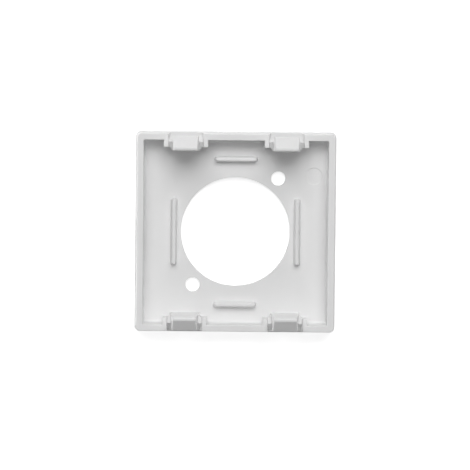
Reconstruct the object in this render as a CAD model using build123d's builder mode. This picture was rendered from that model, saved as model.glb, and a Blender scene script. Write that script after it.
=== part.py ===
"""Blank module plate for one round panel connector, 45 mm snap-in format.

One moulding in white plastic. The front face lies on Z = 0 and the open back
faces +Z. X runs across the module and Y runs up it, as seen from the back.
All sizes are in millimetres and all angles in degrees.
"""

import math
import os

from build123d import *

os.makedirs("parts", exist_ok=True)

# Front plate
module_size = 45.0
plate_thickness = 2.0
plate_corner_radius = 1.2
front_edge_radius = 0.5

# Wall round the back of the plate
wall_height = 5.0
wall_inset = 0.25
wall_draft = 2.0
wall_corner_radius = 1.1
rim_width = 1.4
cavity_corner_radius = 0.4
rim_edge_radius = 0.15
floor_fillet_radius = 0.6

# Cut-out for the connector, its two screws and the flange behind the plate
connector_hole_diameter = 24.4
screw_spacing_x = 19.0
screw_spacing_y = 24.0
screw_hole_diameter = 3.2
hole_edge_chamfer = 0.2
flange_width = 26.0
flange_length = 31.0
flange_clearance = 0.075

# Ribs that square up the flange
rib_height = 1.7
rib_width = 1.5
rib_draft = 13.0
rib_crest_radius = 0.2
side_rib_length = 15.3
end_rib_length = 9.8

# Snap clips, two on the top wall and two on the bottom wall
clip_spacing = 22.5
slot_foot_width = 6.7
slot_draft = 7.0
sill_crest_height = 4.3
sill_crest_reach = 1.78
sill_edge_height = 0.9
ear_width = 0.97
ear_reach = 3.0
root_width = 7.0
root_slope = 28.0
root_corner_chamfer = 0.6
tongue_height = 11.2
tongue_tip_width = 5.05
tongue_side_draft = 3.8
tongue_lean = 0.26
tongue_tip_inset = 3.98
tongue_tip_thickness = 0.75
tongue_neck_thickness = 1.15
hook_reach = 2.33
hook_ramp_angle = 47.0
hook_nose_height = 2.4
latch_slope = 8.0
tip_inside_radius = 0.4
ramp_top_radius = 0.3
tongue_root_radius = 0.3

# Gate pads on the two side walls
gate_pad_height = 3.2
gate_pad_depth = 0.4
gate_pad_length = 5.8
gate_pad_y = 0.7
gate_notch_width = 1.2
gate_notch_depth = 0.16
small_pad_depth = 0.25
small_pad_length = 4.2
small_pad_y = 2.8
pad_end_slope = 2.0

# Round witness of a mould pin on the floor
pin_mark_diameter = 3.8
pin_mark_depth = 0.1
pin_mark_x = 17.5
pin_mark_y = 12.6

# Heights above the front face
rim_z = plate_thickness + wall_height
crest_z = plate_thickness + sill_crest_height
edge_z = plate_thickness + sill_edge_height
tip_z = plate_thickness + tongue_height

# Half sizes of the wall at its foot and at its rim
wall_lean = wall_height * math.tan(math.radians(wall_draft))
wall_foot = module_size / 2 - wall_inset
wall_rim = wall_foot - wall_lean
cavity_rim = wall_rim - rim_width
cavity_foot = cavity_rim - wall_lean

# Places along a clip, measured from the middle of the module
slot_foot = slot_foot_width / 2
slot_rim = slot_foot + wall_height * math.tan(math.radians(slot_draft))
ear_outside = slot_rim + ear_width
ear_end = wall_rim - ear_reach
crest_y = wall_rim - sill_crest_reach
tip_inside = module_size / 2 - tongue_tip_inset
tip_outside = tip_inside + tongue_tip_thickness
foot_inside = tip_inside - tongue_lean
root_drop = math.tan(math.radians(root_slope))
root_inside_z = crest_z - (crest_y - foot_inside) * root_drop
root_ear_z = crest_z - (crest_y - ear_end) * root_drop
neck_back = tip_inside + tongue_neck_thickness
hook_nose = tip_outside + hook_reach
hook_top_z = tip_z - hook_reach * math.tan(math.radians(hook_ramp_angle))
hook_low_z = hook_top_z - hook_nose_height
latch_z = hook_low_z + (hook_nose - neck_back) * math.tan(math.radians(latch_slope))
tip_half = tongue_tip_width / 2
foot_half = tip_half + tongue_height * math.tan(math.radians(tongue_side_draft))
sill_slope = (crest_z - edge_z) / (wall_foot - crest_y)
clearance_cut = 1.0
edge_tolerance = 0.001

clip_places = [
    Location((side * clip_spacing / 2, 0, 0), (0, 0, turn))
    for side in (-1, 1)
    for turn in (0, 180)
]

# Wedge-sided opening in the wall, with the sill that it leaves as its floor:
# steep towards the outside, and down to the root of the tongue on the inside
with BuildPart() as slot:
    cut_top = rim_z + clearance_cut
    cut_half = slot_rim + clearance_cut * math.tan(math.radians(slot_draft))
    cut_end = wall_foot + clearance_cut
    with BuildSketch(Plane.XZ):
        with BuildLine():
            Polyline(
                (-slot_foot, plate_thickness),
                (slot_foot, plate_thickness),
                (cut_half, cut_top),
                (-cut_half, cut_top),
                close=True,
            )
        make_face()
    extrude(amount=-cut_end)
    with BuildSketch(Plane.YZ):
        with BuildLine():
            Polyline(
                (ear_end - clearance_cut, root_ear_z),
                (ear_end, root_ear_z),
                (crest_y, crest_z),
                (cut_end, edge_z - clearance_cut * sill_slope),
                (cut_end, cut_top),
                (ear_end - clearance_cut, cut_top),
                close=True,
            )
        make_face()
    extrude(amount=cut_half, both=True, mode=Mode.INTERSECT)

# Block inside the wall that becomes a pair of ears, the root between them and the sill
with BuildPart() as clip_block:
    with BuildSketch(Plane.XY.offset(plate_thickness)):
        with Locations((0, (ear_end + wall_rim - rim_width / 2) / 2)):
            Rectangle(2 * ear_outside, wall_rim - rim_width / 2 - ear_end)
    extrude(amount=wall_height)

# Root of the tongue, standing out between the ears and sloping up to the sill
with BuildPart() as root:
    with BuildSketch(Plane.YZ):
        with BuildLine():
            Polyline(
                (foot_inside, plate_thickness),
                (foot_inside, root_inside_z),
                (crest_y, crest_z),
                (crest_y, plate_thickness),
                close=True,
            )
        make_face()
    extrude(amount=root_width / 2, both=True)
    inside = root.faces().sort_by(Axis.Y)[0]
    chamfer(inside.edges().filter_by(Axis.Z), length=root_corner_chamfer)

# Sprung tongue with its hook, standing in front of the sill
with BuildPart() as tongue:
    with BuildSketch(Plane.XZ):
        with BuildLine():
            Polyline(
                (-foot_half, plate_thickness),
                (foot_half, plate_thickness),
                (tip_half, tip_z),
                (-tip_half, tip_z),
                close=True,
            )
        make_face()
    extrude(amount=-module_size / 2)
    with BuildSketch(Plane.YZ):
        with BuildLine():
            Polyline(
                (foot_inside, plate_thickness),
                (tip_inside, tip_z),
                (tip_outside, tip_z),
                (hook_nose, hook_top_z),
                (hook_nose, hook_low_z),
                (neck_back, latch_z),
                (crest_y, crest_z),
                (crest_y, plate_thickness),
                close=True,
            )
        make_face()
    extrude(amount=foot_half, both=True, mode=Mode.INTERSECT)
    tip = tongue.faces().sort_by(Axis.Z)[-1]
    fillet(tip.edges().sort_by(Axis.Y)[-1], radius=ramp_top_radius)
    tip = tongue.faces().filter_by(Axis.Z).sort_by(Axis.Z)[-1]
    fillet(tip.edges().sort_by(Axis.Y)[0], radius=tip_inside_radius)


def locating_rib(length):
    """One rib along X with drafted sides, a soft crest and round ends."""
    with BuildPart() as rib:
        with BuildSketch(Plane.XY.offset(plate_thickness)):
            SlotOverall(length, rib_width)
        extrude(amount=rib_height, taper=rib_draft)
        fillet(rib.faces().sort_by(Axis.Z)[-1].edges(), radius=rib_crest_radius)
    return rib.part


def gate_pad(length, depth, notch=0.0):
    """Low pad on the outside of a side wall, with sloped ends, facing +X."""
    root = wall_rim - rim_width / 2
    face = wall_rim + depth
    with BuildPart() as pad:
        with BuildSketch(Plane.XY.offset(plate_thickness)):
            with BuildLine():
                Polyline(
                    (root, -length / 2),
                    (wall_rim, -length / 2),
                    (face, -length / 2 + pad_end_slope * depth),
                    (face, length / 2 - pad_end_slope * depth),
                    (wall_rim, length / 2),
                    (root, length / 2),
                    close=True,
                )
            make_face()
            if notch > 0:
                with Locations((face, 0)):
                    Rectangle(2 * notch, gate_notch_width, mode=Mode.SUBTRACT)
        extrude(amount=gate_pad_height)
    return pad.part


side_rib = locating_rib(side_rib_length)
end_rib = locating_rib(end_rib_length)
left_pad = gate_pad(gate_pad_length, gate_pad_depth, gate_notch_depth)
right_pad = gate_pad(small_pad_length, small_pad_depth)

rib_side_x = flange_width / 2 + flange_clearance + rib_width / 2
rib_end_y = flange_length / 2 + flange_clearance + rib_width / 2

with BuildPart() as module_plate:
    # Front plate with soft front edges
    with BuildSketch():
        RectangleRounded(module_size, module_size, plate_corner_radius)
    extrude(amount=plate_thickness)
    fillet(module_plate.faces().sort_by(Axis.Z)[0].edges(), radius=front_edge_radius)

    # Wall, drafted outside and inside, with a fillet round the floor
    with BuildSketch(Plane.XY.offset(plate_thickness)):
        RectangleRounded(2 * wall_foot, 2 * wall_foot, wall_corner_radius)
    extrude(amount=wall_height, taper=wall_draft)
    with BuildSketch(Plane.XY.offset(rim_z)):
        RectangleRounded(2 * cavity_rim, 2 * cavity_rim, cavity_corner_radius)
    extrude(amount=-wall_height, taper=wall_draft, mode=Mode.SUBTRACT)
    floor = module_plate.faces().filter_by(Axis.Z).group_by(Axis.Z)[1].sort_by(SortBy.AREA)[-1]
    fillet(floor.edges(), radius=floor_fillet_radius)

    # Ears, roots and sills at the four clips, then the soft edge of the rim
    with Locations(*clip_places):
        add(clip_block.part)
    with Locations(*clip_places):
        add(slot.part, mode=Mode.SUBTRACT)
    fillet(
        module_plate.edges().filter_by_position(Axis.Z, rim_z - edge_tolerance, rim_z + edge_tolerance),
        radius=rim_edge_radius,
    )
    with Locations(*clip_places):
        add(root.part)
        add(tongue.part)
    roots = [
        edge
        for edge in module_plate.edges().filter_by(Axis.X).filter_by_position(
            Axis.Z, plate_thickness - edge_tolerance, plate_thickness + edge_tolerance
        )
        if abs(abs(edge.center().Y) - foot_inside) < edge_tolerance
    ]
    fillet(roots, radius=tongue_root_radius)

    # Gate pads, the left one with the notch where the gate broke off
    with Locations(Location((0, gate_pad_y, 0), (0, 0, 180))):
        add(left_pad)
    with Locations((0, small_pad_y, 0)):
        add(right_pad)

    # Ribs beside and beyond the flange
    with Locations(
        Location((-rib_side_x, 0, 0), (0, 0, 90)),
        Location((rib_side_x, 0, 0), (0, 0, 90)),
    ):
        add(side_rib)
    with Locations((0, -rib_end_y, 0), (0, rib_end_y, 0)):
        add(end_rib)

    # Connector hole and the two screw holes on opposite corners
    with Locations((0, 0, plate_thickness)):
        Hole(connector_hole_diameter / 2, depth=plate_thickness)
    with Locations(
        (screw_spacing_x / 2, screw_spacing_y / 2, plate_thickness),
        (-screw_spacing_x / 2, -screw_spacing_y / 2, plate_thickness),
    ):
        Hole(screw_hole_diameter / 2, depth=plate_thickness)
    front = module_plate.faces().sort_by(Axis.Z)[0]
    chamfer(front.edges().filter_by(GeomType.CIRCLE).group_by(SortBy.LENGTH)[-1], length=hole_edge_chamfer)

    # Shallow round witness of the mould pin
    with BuildSketch(Plane.XY.offset(plate_thickness)):
        with Locations((pin_mark_x, pin_mark_y)):
            Circle(pin_mark_diameter / 2)
    extrude(amount=-pin_mark_depth, mode=Mode.SUBTRACT)

module_plate.part.label = "module_plate"
export_step(module_plate.part, "parts/module_plate.step")
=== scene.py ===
# %% [markdown]
# # A snap-in module plate, dressed in Blender
#
# The real object is one injection moulding in white plastic, 45 mm square, that carries a round connector in
# a wall outlet. It is seen squarely from behind, lying on its face, so the picture is made of soft grey
# shading and little else. This lesson loads the plate at its real size, sets the camera, gives the mesh a
# clean skin, mixes the plastic, and then lights it as a small product studio does. Lengths are in metres.

# %% Load the plate
import math

import bpy
from mathutils import Matrix, Quaternion, Vector


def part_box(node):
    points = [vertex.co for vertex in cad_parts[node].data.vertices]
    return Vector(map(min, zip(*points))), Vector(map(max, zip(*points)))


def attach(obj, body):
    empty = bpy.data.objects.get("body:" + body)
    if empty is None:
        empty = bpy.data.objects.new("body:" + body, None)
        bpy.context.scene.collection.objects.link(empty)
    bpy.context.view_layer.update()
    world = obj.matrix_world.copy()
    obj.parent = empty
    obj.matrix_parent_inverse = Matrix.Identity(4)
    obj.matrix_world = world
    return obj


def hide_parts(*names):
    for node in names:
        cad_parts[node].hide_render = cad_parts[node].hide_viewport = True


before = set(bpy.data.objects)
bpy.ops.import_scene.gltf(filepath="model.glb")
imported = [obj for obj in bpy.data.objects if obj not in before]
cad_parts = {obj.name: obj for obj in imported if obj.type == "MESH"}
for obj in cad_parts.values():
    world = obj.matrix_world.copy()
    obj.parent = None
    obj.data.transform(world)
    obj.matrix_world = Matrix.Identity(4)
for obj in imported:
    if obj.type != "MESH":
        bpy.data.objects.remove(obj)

MM = 0.001

scene = bpy.context.scene
scene.view_settings.view_transform = "Standard"
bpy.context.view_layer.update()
plate_low, plate_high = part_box("module_plate")
print("plate, mm:", [round(side / MM, 2) for side in plate_high - plate_low])

# %% [markdown]
# ## The camera
#
# The plate was photographed from far away with a long lens, a few degrees off square: a sliver of its upper
# wall shows from outside, and the floor of the plate is shifted a little against the rim. Both say how far
# the camera leans towards the top. A Track To constraint could aim it, but here its place and its turn are
# worked out from those few angles, so that each of them can be tuned by itself.

# %% How the camera is turned
LEAN_TO_TOP = math.radians(3.4)
LEAN_TO_LEFT = math.radians(0.5)
ROLL = math.radians(0.55)


def camera_turn(lean_to_top, lean_to_left, roll):
    """The turn of a camera that looks down at the plate with +Y up in the picture, and the way back to it."""
    back = Vector((-math.sin(lean_to_left), math.sin(lean_to_top), math.cos(lean_to_top))).normalized()
    across = (Vector((1, 0, 0)) - back * back.x).normalized()
    up = back.cross(across)
    square = Matrix((across, up, back)).transposed().to_quaternion()
    return square @ Quaternion((0, 0, 1), roll), back


turn, back = camera_turn(LEAN_TO_TOP, LEAN_TO_LEFT, ROLL)
print("camera looks from:", [round(part, 3) for part in back])

# %% Where the camera stands
RIM_HEIGHT = 7.0 * MM
PICTURE_WIDTH = 470
RIM_CENTRE_PX = Vector((235.55, 233.04))
PIXELS_PER_METRE = 4480.0
CAMERA_DISTANCE = 0.860

picture_centre = Vector((PICTURE_WIDTH / 2, PICTURE_WIDTH / 2))
offset = (RIM_CENTRE_PX - picture_centre) / PIXELS_PER_METRE
aim = Vector((0, 0, RIM_HEIGHT)) + turn @ Vector((-offset.x, offset.y, 0))
print("camera aims at, mm:", [round(place / MM, 2) for place in aim])

# %% The lens
SENSOR_WIDTH = 36.0
CLIP_START = 0.05
CLIP_END = 20.0

camera_data = bpy.data.cameras.new("camera")
camera_data.sensor_width = SENSOR_WIDTH
camera_data.lens = PIXELS_PER_METRE * CAMERA_DISTANCE * SENSOR_WIDTH / PICTURE_WIDTH
camera_data.clip_start = CLIP_START
camera_data.clip_end = CLIP_END
camera = bpy.data.objects.new("camera", camera_data)
camera.rotation_mode = "QUATERNION"
camera.rotation_quaternion = turn
camera.location = aim + back * CAMERA_DISTANCE
scene.collection.objects.link(camera)
scene.camera = camera
print("lens, mm:", round(camera_data.lens, 1))

# %% [markdown]
# ## Helpers for node trees
#
# Every tree in this lesson is built in code, so a few small helpers keep the cells short. They add a node and
# set its properties, join two sockets, and make a group with named inputs and outputs. The last one finds the
# identifier of a named input, because a modifier's input is set by that and not by the name that one reads.


# %% Helpers for node trees
def add_node(tree, kind, **settings):
    """Adds a node to a tree and sets its plain properties."""
    node = tree.nodes.new(kind)
    for name, value in settings.items():
        setattr(node, name, value)
    return node


def join(tree, start, end):
    """Links an output socket to an input socket."""
    tree.links.new(start, end)


def new_group(name, kind, inputs, outputs):
    """A node group with named sockets, and the two nodes that stand for its inputs and outputs."""
    tree = bpy.data.node_groups.new(name, kind)
    for label, socket in inputs.items():
        tree.interface.new_socket(name=label, in_out="INPUT", socket_type=socket)
    for label, socket in outputs.items():
        tree.interface.new_socket(name=label, in_out="OUTPUT", socket_type=socket)
    return tree, add_node(tree, "NodeGroupInput"), add_node(tree, "NodeGroupOutput")


def input_id(tree, name):
    """The identifier of a tree's named input."""
    sockets = [item for item in tree.interface.items_tree if item.in_out == "INPUT"]
    return next(item.identifier for item in sockets if item.name == name)


# %% [markdown]
# ## One clean skin
#
# A mould leaves one closed skin: its flats meet in crisp edges, and its fillets run smoothly into them. The
# CAD mesh has the true shape, but as loose triangles, each of which would be shaded by itself. Smoothing by
# hand would have to be done again after each change of size, so a rule does it. A small Geometry Nodes tree
# closes the seams between the triangles, smooths everything, and then keeps as sharp each edge where two
# triangles meet at more than a set angle.


# %% The tree that closes and smooths the skin
def skin_tree():
    """Geometry Nodes: close the seams, shade smooth, keep the real edges sharp, set the finish."""
    inputs = {
        "Mesh": "NodeSocketGeometry",
        "Seam gap": "NodeSocketFloat",
        "Edge angle": "NodeSocketFloat",
        "Finish": "NodeSocketMaterial",
    }
    outputs = {"Skin": "NodeSocketGeometry"}
    tree, given, result = new_group("moulded_skin", "GeometryNodeTree", inputs, outputs)

    closed = add_node(tree, "GeometryNodeMergeByDistance")
    join(tree, given.outputs["Mesh"], closed.inputs["Geometry"])
    join(tree, given.outputs["Seam gap"], closed.inputs["Distance"])
    smooth = add_node(tree, "GeometryNodeSetShadeSmooth", domain="FACE")
    join(tree, closed.outputs["Geometry"], smooth.inputs["Geometry"])

    angle = add_node(tree, "GeometryNodeInputMeshEdgeAngle")
    crease = add_node(tree, "FunctionNodeCompare", data_type="FLOAT", operation="GREATER_THAN")
    join(tree, angle.outputs["Unsigned Angle"], crease.inputs["A"])
    join(tree, given.outputs["Edge angle"], crease.inputs["B"])
    sharp = add_node(tree, "GeometryNodeSetShadeSmooth", domain="EDGE")
    sharp.inputs["Shade Smooth"].default_value = False
    join(tree, smooth.outputs["Geometry"], sharp.inputs["Geometry"])
    join(tree, crease.outputs["Result"], sharp.inputs["Selection"])

    real = add_node(tree, "GeometryNodeRealizeInstances")
    join(tree, sharp.outputs["Geometry"], real.inputs["Geometry"])
    finish = add_node(tree, "GeometryNodeSetMaterial")
    join(tree, real.outputs["Geometry"], finish.inputs["Geometry"])
    join(tree, given.outputs["Finish"], finish.inputs["Material"])
    join(tree, finish.outputs["Geometry"], result.inputs["Skin"])
    return tree


moulded_skin = skin_tree()
print("skin tree:", len(moulded_skin.nodes), "nodes")

# %% [markdown]
# ## What the plastic is made of
#
# The plate is moulded in a bright white plastic. It is satin, not glossy: the steel of such a mould is
# spark-eroded, and its fine pits print a grain on the part, coarser on the front and finer behind. Inside,
# the melt leaves faint clouds where it flowed. A flat colour would look like painted card, and a picture of
# plastic would repeat and blur when seen from near. Noise in Object coordinates does neither, so both effects
# are made from it. Each is a shader group with named inputs, so that one grain can be placed twice, with its
# own size and depth for each side of the plate.

# %% Noise of a real size
FLOAT = "NodeSocketFloat"
COLOUR = "NodeSocketColor"


def noise_of_size(tree, size, detail):
    """Noise on Object coordinates, with blotches about as large as the size, in metres."""
    place = add_node(tree, "ShaderNodeTexCoord")
    scale = add_node(tree, "ShaderNodeMath", operation="DIVIDE")
    scale.inputs[0].default_value = 1.0
    join(tree, size, scale.inputs[1])
    noise = add_node(tree, "ShaderNodeTexNoise")
    noise.inputs["Detail"].default_value = detail
    join(tree, place.outputs["Object"], noise.inputs["Vector"])
    join(tree, scale.outputs[0], noise.inputs["Scale"])
    return noise.outputs["Fac"]


# %% The grain that the mould prints
GRAIN_DETAIL = 1.0


def grain_group():
    """Shader group: the height of the grain in metres, and its pits from 0 to 1."""
    inputs = {"Grain size": FLOAT, "Depth": FLOAT}
    outputs = {"Height": FLOAT, "Pits": FLOAT}
    tree, given, result = new_group("moulded_grain", "ShaderNodeTree", inputs, outputs)
    pits = noise_of_size(tree, given.outputs["Grain size"], GRAIN_DETAIL)
    height = add_node(tree, "ShaderNodeMath", operation="MULTIPLY")
    join(tree, pits, height.inputs[0])
    join(tree, given.outputs["Depth"], height.inputs[1])
    join(tree, height.outputs[0], result.inputs["Height"])
    join(tree, pits, result.inputs["Pits"])
    return tree


moulded_grain = grain_group()
print("grain group:", len(moulded_grain.nodes), "nodes")

# %% The faint clouds of the melt
CLOUD_DETAIL = 3.0


def cloud_group():
    """Shader group: a colour that wanders between two close tones."""
    inputs = {"Light tone": COLOUR, "Dark tone": COLOUR, "Cloud size": FLOAT}
    tree, given, result = new_group("melt_clouds", "ShaderNodeTree", inputs, {"Colour": COLOUR})
    clouds = noise_of_size(tree, given.outputs["Cloud size"], CLOUD_DETAIL)
    tones = add_node(tree, "ShaderNodeMixRGB")
    join(tree, clouds, tones.inputs["Fac"])
    join(tree, given.outputs["Light tone"], tones.inputs["Color1"])
    join(tree, given.outputs["Dark tone"], tones.inputs["Color2"])
    join(tree, tones.outputs["Color"], result.inputs["Colour"])
    return tree


melt_clouds = cloud_group()
print("cloud group:", len(melt_clouds.nodes), "nodes")

# %% [markdown]
# ## Mixing the plastic
#
# The front of the plate is the side that people see and touch, and it has the coarser grain. The front is
# 2 mm thick, so the height of a point, in Object coordinates, tells the two grains apart. No moulded edge is
# truly sharp. Real bevels would only add triangles that no picture shows, so a Bevel node bends the shading
# near each edge as a radius of a tenth of a millimetre would. A little light goes into the white plastic and
# comes out beside the place where it went in, which softens the thin edges of walls and ribs.

# %% Which grain goes where
FRONT_ENDS = 1.9 * MM
BACK_STARTS = 2.0 * MM


def front_mask(tree):
    """1 on the front plate and 0 on everything behind it."""
    place = add_node(tree, "ShaderNodeTexCoord")
    axes = add_node(tree, "ShaderNodeSeparateXYZ")
    join(tree, place.outputs["Object"], axes.inputs[0])
    mask = add_node(tree, "ShaderNodeMapRange")
    mask.inputs["From Min"].default_value = FRONT_ENDS
    mask.inputs["From Max"].default_value = BACK_STARTS
    mask.inputs["To Min"].default_value = 1.0
    mask.inputs["To Max"].default_value = 0.0
    join(tree, axes.outputs["Z"], mask.inputs["Value"])
    return mask.outputs[0]


def placed_group(tree, group, values):
    """Adds a shader group to a material and sets its inputs by name."""
    node = add_node(tree, "ShaderNodeGroup", node_tree=group)
    for name, value in values.items():
        node.inputs[name].default_value = value
    return node


# %% Mixing the plastic
LIGHT_TONE = (0.83, 0.83, 0.83, 1)
DARK_TONE = (0.80, 0.80, 0.80, 1)
CLOUDS = {"Light tone": LIGHT_TONE, "Dark tone": DARK_TONE, "Cloud size": 4.0 * MM}
FRONT_GRAIN = {"Grain size": 0.30 * MM, "Depth": 0.020 * MM}
BACK_GRAIN = {"Grain size": 0.14 * MM, "Depth": 0.006 * MM}
EDGE_RADIUS = 0.10 * MM
EDGE_SAMPLES = 6
SMOOTHEST = 0.42
ROUGHEST = 0.56
INNER_LIGHT = 0.15
INNER_LIGHT_REACH = 0.5 * MM
ALL_COLOURS_ALIKE = (1, 1, 1)
HEIGHT_AS_GIVEN = 1.0


def satin_white_plastic():
    """Satin white plastic with two grains, faint clouds and soft edges."""
    material = bpy.data.materials.new("satin_white_plastic")
    material.use_nodes = True
    tree = material.node_tree
    shader = tree.nodes["Principled BSDF"]
    shader.inputs["Subsurface Weight"].default_value = INNER_LIGHT
    shader.inputs["Subsurface Radius"].default_value = ALL_COLOURS_ALIKE
    shader.inputs["Subsurface Scale"].default_value = INNER_LIGHT_REACH
    clouds = placed_group(tree, melt_clouds, CLOUDS)
    join(tree, clouds.outputs["Colour"], shader.inputs["Base Color"])

    front = placed_group(tree, moulded_grain, FRONT_GRAIN)
    behind = placed_group(tree, moulded_grain, BACK_GRAIN)
    height = add_node(tree, "ShaderNodeMix", data_type="FLOAT")
    join(tree, front_mask(tree), height.inputs["Factor"])
    join(tree, behind.outputs["Height"], height.inputs["A"])
    join(tree, front.outputs["Height"], height.inputs["B"])
    edges = add_node(tree, "ShaderNodeBevel", samples=EDGE_SAMPLES)
    edges.inputs["Radius"].default_value = EDGE_RADIUS
    bump = add_node(tree, "ShaderNodeBump")
    bump.inputs["Distance"].default_value = HEIGHT_AS_GIVEN
    join(tree, height.outputs["Result"], bump.inputs["Height"])
    join(tree, edges.outputs["Normal"], bump.inputs["Normal"])
    join(tree, bump.outputs["Normal"], shader.inputs["Normal"])

    gloss = add_node(tree, "ShaderNodeMapRange")
    gloss.inputs["To Min"].default_value = SMOOTHEST
    gloss.inputs["To Max"].default_value = ROUGHEST
    join(tree, behind.outputs["Pits"], gloss.inputs["Value"])
    join(tree, gloss.outputs[0], shader.inputs["Roughness"])
    return material


plastic = satin_white_plastic()
print("plastic:", len(plastic.node_tree.nodes), "nodes")

# %% [markdown]
# ## Dressing the plate
#
# The plate that came from CAD stays as it is, because the checks and the motion rely on it. So the tree works
# on a copy of its mesh. What comes out of the modifier is kept as a plain mesh, which then stands for the
# plate in every picture: it rides on the same body and takes the place of the same node.

# %% Dressing the plate
SEAM_GAP = 0.001 * MM
EDGE_ANGLE = math.radians(28)


def skinned_copy(node, name):
    """A closed and smoothed copy of a CAD node, as a plain mesh object at the origin."""
    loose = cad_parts[node].data.copy()
    loose.materials.clear()
    source = bpy.data.objects.new(name + "_source", loose)
    scene.collection.objects.link(source)
    modifier = source.modifiers.new("skin", "NODES")
    modifier.node_group = moulded_skin
    modifier[input_id(moulded_skin, "Seam gap")] = SEAM_GAP
    modifier[input_id(moulded_skin, "Edge angle")] = EDGE_ANGLE
    modifier[input_id(moulded_skin, "Finish")] = plastic
    evaluated = source.evaluated_get(bpy.context.evaluated_depsgraph_get())
    mesh = bpy.data.meshes.new_from_object(evaluated)
    bpy.data.objects.remove(source)
    piece = bpy.data.objects.new(name, mesh)
    scene.collection.objects.link(piece)
    return piece


plate_skin = skinned_copy("module_plate", "plate_skin")
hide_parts("module_plate")
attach(plate_skin, "root")
print("plate skin:", len(plate_skin.data.vertices), "points,", len(plate_skin.data.polygons), "faces")
print("finish:", [material.name for material in plate_skin.data.materials])

# %% [markdown]
# ## Floor and background
#
# The plate lies on a white table against a white ground, and the picture is pure white around it. More light
# would whiten the table too, but it would burn out the plate. Instead the table and the room glow, and only
# for the rays that show them: straight from the camera, in a reflection, or through something clear. The
# light that falls on the plate is left as it is, and a soft shadow stays where the plate meets the table.


# %% Rays that show the background
def shows_background(tree):
    """1 for rays from the camera, a reflection or a clear body, and 0 for the light that falls on things."""
    path = add_node(tree, "ShaderNodeLightPath")
    mirror = add_node(tree, "ShaderNodeMath", operation="MAXIMUM")
    join(tree, path.outputs["Is Camera Ray"], mirror.inputs[0])
    join(tree, path.outputs["Is Glossy Ray"], mirror.inputs[1])
    clear = add_node(tree, "ShaderNodeMath", operation="MAXIMUM")
    join(tree, mirror.outputs[0], clear.inputs[0])
    join(tree, path.outputs["Is Transmission Ray"], clear.inputs[1])
    return clear.outputs[0]


# %% The finish of the floor
FLOOR_COLOUR = (0.8, 0.8, 0.8, 1)
FLOOR_GLOW = 0.7


def white_table():
    """A matt white that also glows for the rays that show the background."""
    material = bpy.data.materials.new("white_table")
    material.use_nodes = True
    tree = material.node_tree
    tree.nodes.clear()
    matt = add_node(tree, "ShaderNodeBsdfDiffuse")
    matt.inputs["Color"].default_value = FLOOR_COLOUR
    strength = add_node(tree, "ShaderNodeMath", operation="MULTIPLY")
    strength.inputs[1].default_value = FLOOR_GLOW
    join(tree, shows_background(tree), strength.inputs[0])
    glow = add_node(tree, "ShaderNodeEmission")
    join(tree, strength.outputs[0], glow.inputs["Strength"])
    both = add_node(tree, "ShaderNodeAddShader")
    join(tree, matt.outputs[0], both.inputs[0])
    join(tree, glow.outputs[0], both.inputs[1])
    surface = add_node(tree, "ShaderNodeOutputMaterial")
    join(tree, both.outputs[0], surface.inputs["Surface"])
    return material


# %% Floor
FLOOR_SIZE = 6.0
FLOOR_GAP = 0.02 * MM


def plain_floor():
    """A flat square just under the plate's front face."""
    half = FLOOR_SIZE / 2
    corners = ((-half, -half), (half, -half), (half, half), (-half, half))
    mesh = bpy.data.meshes.new("floor")
    mesh.from_pydata([(x, y, -FLOOR_GAP) for x, y in corners], [], [(0, 1, 2, 3)])
    mesh.materials.append(white_table())
    floor = bpy.data.objects.new("floor", mesh)
    scene.collection.objects.link(floor)
    return floor


floor = plain_floor()
print("floor, m:", FLOOR_SIZE)

# %% The room
ROOM_COLOUR = (1, 1, 1, 1)
FILL_LIGHT = 0.02
WHITE = 1.0

world = bpy.data.worlds.new("white_room")
world.use_nodes = True
scene.world = world
room = world.node_tree
background = room.nodes["Background"]
background.inputs["Color"].default_value = ROOM_COLOUR
brightness = add_node(room, "ShaderNodeMapRange")
brightness.inputs["To Min"].default_value = FILL_LIGHT
brightness.inputs["To Max"].default_value = WHITE
join(room, shows_background(room), brightness.inputs["Value"])
join(room, brightness.outputs[0], background.inputs["Strength"])
print("light from the room itself:", FILL_LIGHT)

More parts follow.
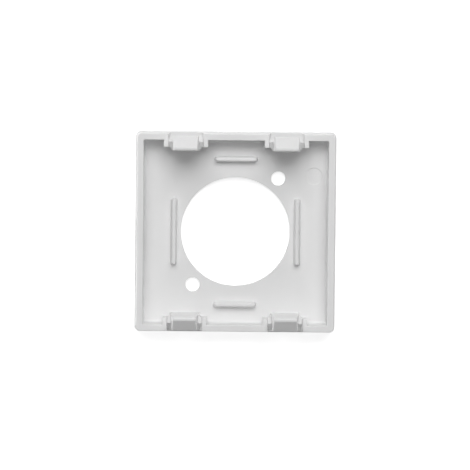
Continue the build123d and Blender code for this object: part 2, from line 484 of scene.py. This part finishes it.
# %% [markdown]
# ## Lights
#
# The shadows tell how the plate was lit. The upper wall and clips throw a long soft shadow down the floor of
# the plate, while the lower wall is bright, so the main light stood beyond the top of the picture. The ramps
# of the upper clips are as bright as the flat rim, so it stood high. The ramps that look the other way are
# only half as bright, so the fill was weak. The upright faces at the sides are bright as well, which takes
# low strips on the left and right. The left edge of the front is the brightest of all, so a thin strip lies
# almost on the table there and reaches little else. One lamp can't be both broad and set for each height, so
# the softbox is two strips, one above the other. A sun lamp would throw hard shadows, and a plain bright room
# hardly any.
#
# A lamp's place is given by two angles. Azimuth 0 is the top of the picture and 90 its right side, and the
# elevation is counted from the table.

# %% A soft lamp
LAMP_DISTANCE = 0.9


def soft_lamp(name, azimuth, elevation, size, power, distance=LAMP_DISTANCE):
    """A soft rectangular lamp aimed at the plate, with its angles in degrees and its power in watts."""
    data = bpy.data.lights.new(name, "AREA")
    data.shape = "RECTANGLE"
    data.size, data.size_y = size
    data.energy = power
    lamp = bpy.data.objects.new(name, data)
    around = math.radians(azimuth)
    above = math.radians(elevation)
    flat = math.cos(above)
    towards = Vector((math.sin(around) * flat, math.cos(around) * flat, math.sin(above)))
    lamp.location = towards * distance
    lamp.rotation_mode = "QUATERNION"
    lamp.rotation_quaternion = towards.to_track_quat("Z", "Y")
    scene.collection.objects.link(lamp)
    print(name, power, "W")


# %% Softbox, overhead light and fill
TOP = 0
BOTTOM = 180
STRIP = (0.9, 0.3)
OVERHEAD = (0.6, 0.6)
FILL = (0.9, 0.35)

soft_lamp("softbox_high", azimuth=TOP, elevation=64, size=STRIP, power=3.6)
soft_lamp("softbox_low", azimuth=TOP, elevation=47, size=STRIP, power=2.7)
soft_lamp("overhead", azimuth=TOP, elevation=90, size=OVERHEAD, power=0.7)
soft_lamp("fill", azimuth=BOTTOM, elevation=66, size=FILL, power=0.36)

# %% Strips at the lower corners
LOWER_CORNER = 135
CORNER_STRIP = (0.6, 0.16)

for side, word in ((-1, "left"), (1, "right")):
    corner = side * LOWER_CORNER
    soft_lamp("corner_strip_" + word, azimuth=corner, elevation=10, size=CORNER_STRIP, power=0.40)

# %% Strips close beside the plate
RIGHT = 90
NEAR = 0.16
SIDE_STRIP = (0.2, 0.05)
EDGE_STRIP = (0.2, 0.01)

soft_lamp("side_strip_left", azimuth=-RIGHT, elevation=12, size=SIDE_STRIP, power=0.044, distance=NEAR)
soft_lamp("side_strip_right", azimuth=RIGHT, elevation=12, size=SIDE_STRIP, power=0.044, distance=NEAR)
soft_lamp("edge_strip_left", azimuth=-RIGHT, elevation=3, size=EDGE_STRIP, power=0.08, distance=NEAR)
